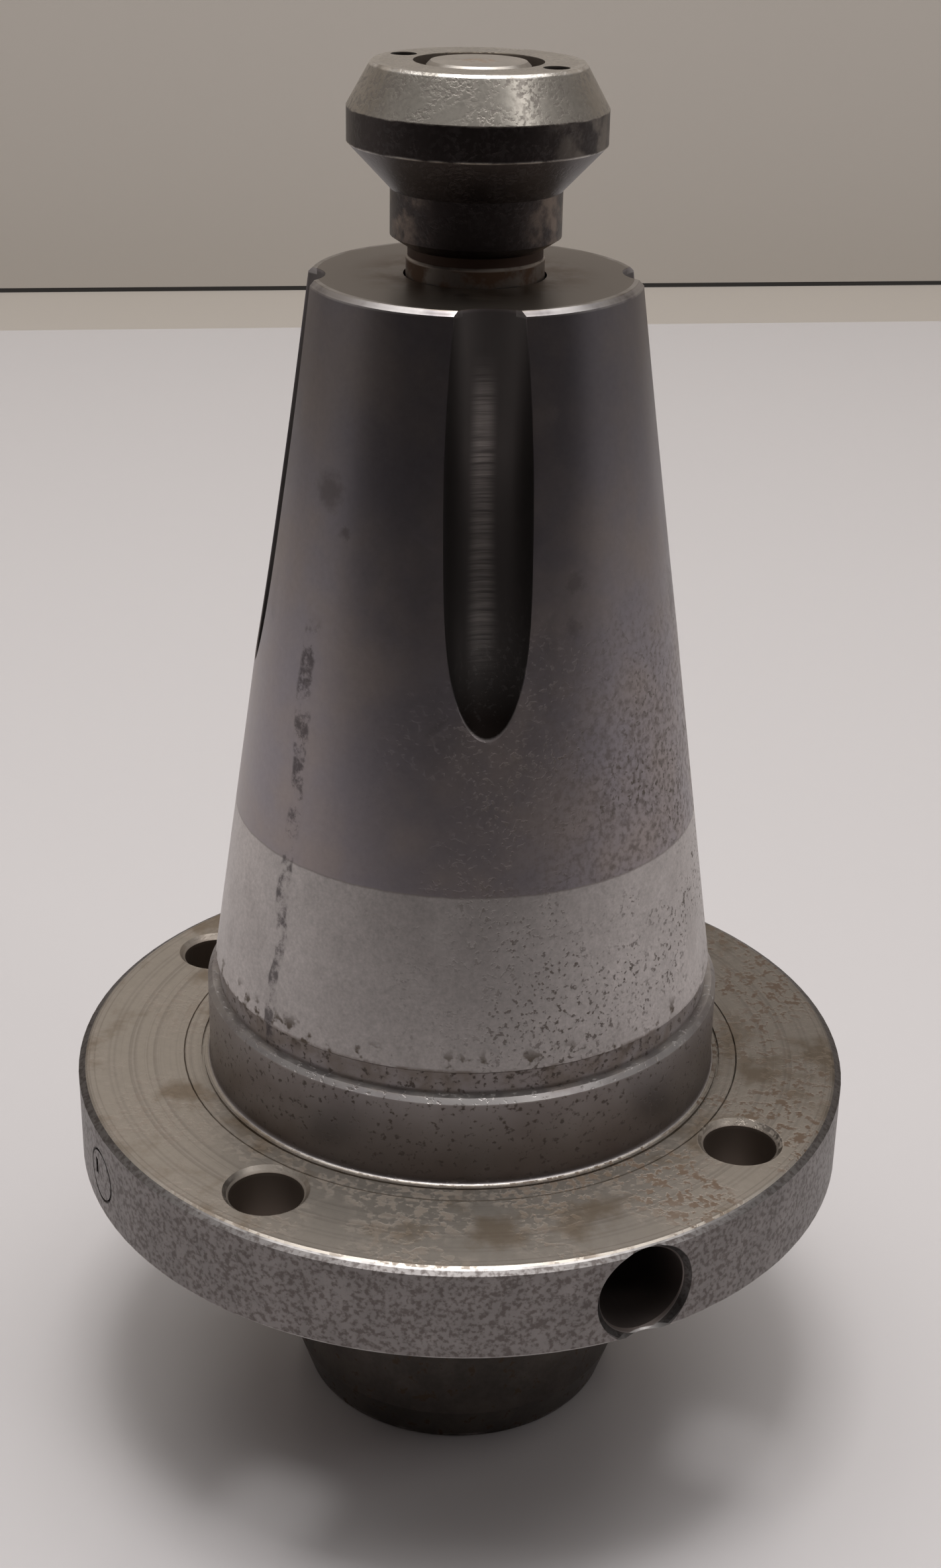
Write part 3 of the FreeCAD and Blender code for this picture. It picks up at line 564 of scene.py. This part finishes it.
# %% black part of the knob
BAND_TOP = KNOB_TOP - 5.0
BAND_LOW = BAND_TOP - 4.0
NECK_TOP = BAND_LOW - 5.3
wobble = calc(tree, "MULTIPLY", cloud(tree, place.point, 2.0, 4.0), 0.5)
black_edge = calc(tree, "ADD", height, wobble)
blackened = fall(tree, black_edge, BAND_TOP + 0.05, BAND_TOP + 0.25)
knob.cover(blackened, (0.052, 0.043, 0.041), 0.38)
knob.shade(both(tree, blackened, clouds), 1.2, 0.75)
neck = fall(tree, height, NECK_TOP - 0.1, NECK_TOP + 0.1)
brown = rise(tree, cloud(tree, place.point, 3.5, 5.0), 0.40, 0.62)
at_sides = rise(tree, calc(tree, "ABSOLUTE", angle), 25.0, 60.0)
knob.cover(both(tree, neck, brown, at_sides), (0.22, 0.172, 0.14), 0.4, 0.85)
right_rub = both(tree, between(tree, height, BAND_LOW, BAND_TOP, 0.3),
                 rise(tree, angle, 20.0, 60.0), brown)
knob.cover(both(tree, right_rub, 0.7), (0.25, 0.22, 0.19), 0.42)
print("band from", BAND_LOW, "to", BAND_TOP)

# %% [markdown]
# ## The knob's edges and holes
# The edges of the top and of the band are painted bright: partly rubbed wear, partly painted
# highlight. The two pin holes and the recess round the stud are painted dark: painted shade, because
# little light reaches into them.

# %% edges and holes of the knob
PIN_HOLES_INNER = 7.8
PIN_HOLES_OUTER = 11.8
PIN_HOLES_DEPTH = 5.5
RECESS_RADIUS = 7.6
rubbed_and_highlit = rise(tree, cloud(tree, place.point, 2.5, 4.0), 0.3, 0.6)
band_edge = between(tree, height, BAND_LOW - 0.12, BAND_LOW + 0.10, 0.08)
top_edge = both(tree, between(tree, height, KNOB_TOP - 0.4, KNOB_TOP - 0.02, 0.05),
                calc(tree, "GREATER_THAN", radius, 11.5))
# The band edge and the top edge are painted bright: partly wear, partly painted highlight.
knob.cover(both(tree, band_edge, rubbed_and_highlit), (0.40, 0.37, 0.34), 0.32)
knob.cover(both(tree, top_edge, rubbed_and_highlit), (0.66, 0.62, 0.57), 0.28)
# The pin holes and the recess are painted dark: painted shade.
holes_shade = both(tree, within(tree, height, KNOB_TOP - PIN_HOLES_DEPTH, KNOB_TOP - 0.15),
                within(tree, radius, PIN_HOLES_INNER, PIN_HOLES_OUTER))
knob.cover(holes_shade, (0.05, 0.04, 0.035), 0.6, 0.5)
recess = both(tree, calc(tree, "LESS_THAN", radius, RECESS_RADIUS + 0.1),
              calc(tree, "LESS_THAN", height, KNOB_TOP - 0.1))
knob.cover(recess, (0.16, 0.135, 0.115), 0.5, 0.8)
dress("pull_knob", knob.close())
print("recess radius", RECESS_RADIUS)

# %% [markdown]
# ## The draw stud
# The stud joins the knob to the holder. Damp gets into its narrow neck, so it is rusty there,
# while its top end is turned bright, with a small rough mark where the lathe's centre sat.

# %% draw stud
stud = Steel("stud_steel", (0.42, 0.385, 0.345), 0.38)
tree, place = stud.tree, stud.place
height, radius, angle = place.height, place.radius, place.angle
STUD_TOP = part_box("draw_stud")[1][2] / MM
KNOB_FOOT = STUD_TOP - 20.9
RING_TOP = STUD_TOP - 22.15
stud_clouds = cloud(tree, place.point, 3.0, 5.0)
stud.shade(stud_clouds, 0.7, 1.2)
stud.shade(cloud(tree, place.point, 0.6, 3.0), 0.8, 1.15)
below_knob = calc(tree, "LESS_THAN", height, KNOB_FOOT)
stud.cover(below_knob, (0.27, 0.235, 0.21), 0.42)
rust = both(tree, below_knob, rise(tree, stud_clouds, 0.42, 0.6))
stud.cover(rust, (0.13, 0.075, 0.045), 0.6, 0.5)
neck_rust = both(tree, between(tree, height, RING_TOP - 0.05, KNOB_FOOT + 0.1, 0.1), below_knob)
stud.cover(neck_rust, (0.085, 0.05, 0.035), 0.6, 0.5)
ring_edge = between(tree, height, RING_TOP - 0.35, RING_TOP, 0.08)
stud.cover(both(tree, ring_edge, rise(tree, stud_clouds, 0.35, 0.6)), (0.42, 0.36, 0.31), 0.35)
centre_mark = both(tree, fall(tree, radius, 1.2, 3.0),
                   calc(tree, "GREATER_THAN", height, STUD_TOP - 0.1),
                   spots(tree, place.point, 1.1, 0.5, 0.06, 4.0))
stud.cover(both(tree, centre_mark, 0.8), (0.22, 0.15, 0.10), 0.55, 0.7, -0.15)
dress("draw_stud", stud.close())
print("stud's ring below", RING_TOP)

# %% [markdown]
# ## The rim plug
# The plug closes a drilling and was turned flush with the rim, so only its outline shows. It gets
# the rim's own colours, and turns dark a little way in.

# %% rim plug
plug = Steel("plug_steel", (0.23, 0.212, 0.207), 0.43)
tree, place = plug.tree, plug.place
plug.shade(cloud(tree, place.point, 1.3, 5.0), 0.75, 1.2)
plug.cover(spots(tree, place.point, 0.7, 0.53, 0.10), (0.115, 0.098, 0.092), 0.5)
sunk = calc(tree, "LESS_THAN", place.radius, FLANGE_RADIUS - 0.2)
plug.cover(sunk, (0.05, 0.04, 0.035), 0.6, 0.6)
dress("rim_plug", plug.close())

# %% [markdown]
# ## The nose nut
# The nut is painted dark, with fine turning rings. It has worn to brown in patches, and its front
# edge is rubbed where it stands on the bench.

# %% nose nut
nut = Steel("nut_steel", (0.115, 0.10, 0.09), 0.42)
tree, place = nut.tree, nut.place
height, radius = place.height, place.radius
nut_clouds = cloud(tree, place.point, 6.0, 4.0)
nut.shade(nut_clouds, 0.7, 1.3)
nut.shade(cloud(tree, place.point, 0.8, 4.0), 0.75, 1.2)
nut.cover(cloud(tree, place.rings, 0.4, 2.0), raise_by=0.03)
nut_rub = rise(tree, nut_clouds, 0.45, 0.65)
nut.cover(both(tree, nut_rub, 0.4), (0.17, 0.145, 0.125), 0.45)
front_edge = between(tree, height, 0.05, 0.7, 0.15)
nut.cover(both(tree, front_edge, nut_rub), (0.30, 0.27, 0.25), 0.35)
nut.cover(spots(tree, place.point, 1.5, 0.63, 0.04), (0.09, 0.06, 0.04), 0.6, 0.5)
dress("nose_nut", nut.close())

# %% [markdown]
# ## Pieces inside
# The collet, the thrust ring, the wire ring and the stop screw are hidden while the holder stands,
# but show when the nut is looked at from below. The collet is hardened and ground, so it is paler
# and smoother than the rest, with a film of old oil. The thrust ring shares its finish.

# %% collet and thrust ring
collet = Steel("collet_steel", (0.48, 0.465, 0.45), 0.30)
tree, place = collet.tree, collet.place
collet.shade(cloud(tree, place.point, 6.0, 4.0), 0.8, 1.15)
collet.shade(cloud(tree, place.rings, 0.3, 3.0), 0.85, 1.1)
collet.cover(cloud(tree, place.rings, 0.3, 2.0), raise_by=0.02)
oil = rise(tree, cloud(tree, place.point, 4.0, 5.0), 0.5, 0.66)
collet.cover(both(tree, oil, 0.6), (0.20, 0.165, 0.125), 0.36)
dress("collet", collet.close())
dress("thrust_ring", collet.material)

# %% [markdown]
# ## Stop screw and wire ring
# These are plain dark steel. Nobody sees them in use, so a cloudy tint, fine rings and a few rust
# specks are enough.

# %% stop screw and wire ring
dark = Steel("screw_steel", (0.20, 0.185, 0.175), 0.42)
tree, place = dark.tree, dark.place
dark.shade(cloud(tree, place.point, 3.0, 5.0), 0.7, 1.25)
dark.cover(cloud(tree, place.rings, 0.4, 2.0), raise_by=0.03)
dark.cover(spots(tree, place.point, 1.2, 0.6, 0.05), (0.10, 0.07, 0.05), 0.55, 0.6)
dress("stop_screw", dark.close())
dress("ring_clip", dark.material)

# %% [markdown]
# ## The bench and the wall
# The holder stands on a pale, slightly glossy bench top. Behind it is a pale wall with a dark gap
# at its foot, and the last hand's width of the bench is a duller strip.

# %% helpers for the room
def plain(name, colour, rough):
    """A plain painted surface."""
    material = bpy.data.materials.new(name)
    material.use_nodes = True
    surface = material.node_tree.nodes["Principled BSDF"]
    surface.inputs["Base Color"].default_value = (*colour, 1.0)
    surface.inputs["Roughness"].default_value = rough
    return material


def board(name, corners, material):
    """A flat four-cornered board that belongs to the stage."""
    mesh = bpy.data.meshes.new(name)
    mesh.from_pydata(corners, [], [(0, 1, 2, 3)])
    mesh.materials.append(material)
    piece = bpy.data.objects.new(name, mesh)
    bpy.context.collection.objects.link(piece)
    return piece


# %% bench and wall
BENCH_FRONT = -0.30
BENCH_HALF_WIDTH = 1.4
STRIP_Y = 0.632
WALL_Y = 0.699
WALL_TURN = math.radians(7.0)
WALL_HEIGHT = 1.6
GAP = 0.0018


def back_edge(x, distance, height=0.0):
    """A point on a line that runs along the back of the bench, turned a little from square."""
    return (x, distance + x * math.tan(WALL_TURN), height)


bench_paint = plain("bench_paint", (0.54, 0.513, 0.512), 0.22)
strip_paint = plain("strip_paint", (0.39, 0.35, 0.31), 0.7)
wall_paint = plain("wall_paint", (0.50, 0.455, 0.408), 0.8)
gap_paint = plain("gap_paint", (0.03, 0.027, 0.025), 0.9)
left, right = -BENCH_HALF_WIDTH, BENCH_HALF_WIDTH
board("bench", [(left, BENCH_FRONT, 0.0), (right, BENCH_FRONT, 0.0), back_edge(right, STRIP_Y),
                back_edge(left, STRIP_Y)], bench_paint)
board("bench_strip", [back_edge(left, STRIP_Y), back_edge(right, STRIP_Y), back_edge(right, WALL_Y),
                      back_edge(left, WALL_Y)], strip_paint)
board("wall_gap", [back_edge(left, WALL_Y), back_edge(right, WALL_Y), back_edge(right, WALL_Y, GAP),
                   back_edge(left, WALL_Y, GAP)], gap_paint)
board("wall", [back_edge(left, WALL_Y, GAP), back_edge(right, WALL_Y, GAP),
               back_edge(right, WALL_Y, WALL_HEIGHT), back_edge(left, WALL_Y, WALL_HEIGHT)], wall_paint)
print("bench is", right - left, "m wide and ends", BENCH_FRONT, "m in front")

# %% [markdown]
# ## Light
# Polished metal shows what stands around it more than the lamps. Pale surroundings make it pale,
# so a photographer puts a black card in front to give it depth. The card is only for the metal
# and the camera doesn't see it. A soft lamp hangs right over the holder, a small one at the front
# right puts a streak on the knob, and a large dim panel above fills the shadows.

# %% light
def lamp(name, place, width, depth, power):
    """A soft rectangular lamp that faces the holder."""
    light = bpy.data.lights.new(name, "AREA")
    light.shape = "RECTANGLE"
    light.size = width
    light.size_y = depth
    light.energy = power
    piece = bpy.data.objects.new(name, light)
    piece.location = place
    piece.rotation_euler = (-Vector(place)).to_track_quat("-Z", "Y").to_euler()
    bpy.context.collection.objects.link(piece)
    return piece


lamp("key_lamp", (-0.02, -0.05, 1.5), 0.42, 0.42, 9.0)
lamp("right_window", (0.64, -0.57, 1.0), 0.22, 0.22, 1.0)
lamp("fill_panel", (0.0, 0.25, 1.7), 2.2, 1.6, 26.0)
print("lamps:", len(bpy.data.lights))

# %% [markdown]
# ## The black card and the room
# The card stands on the bench's front edge and leans away from the holder, behind the camera. The
# world round it is a plain dim grey, like a room with its lights off.

# %% card and room
CARD_HEIGHT = 0.75
CARD_HALF_WIDTH = 1.1
CARD_LEAN = 0.1
card_black = plain("card_black", (0.035, 0.03, 0.03), 0.9)
card_top = BENCH_FRONT - CARD_LEAN
card = board("black_card", [(-CARD_HALF_WIDTH, BENCH_FRONT, 0.0), (CARD_HALF_WIDTH, BENCH_FRONT, 0.0),
                            (CARD_HALF_WIDTH, card_top, CARD_HEIGHT),
                            (-CARD_HALF_WIDTH, card_top, CARD_HEIGHT)], card_black)
card.visible_camera = False
card.visible_shadow = False

world = bpy.data.worlds.new("room")
world.use_nodes = True
world.node_tree.nodes["Background"].inputs[0].default_value = (0.30, 0.29, 0.285, 1.0)
world.node_tree.nodes["Background"].inputs[1].default_value = 1.0
bpy.context.scene.world = world
print("card height", CARD_HEIGHT)
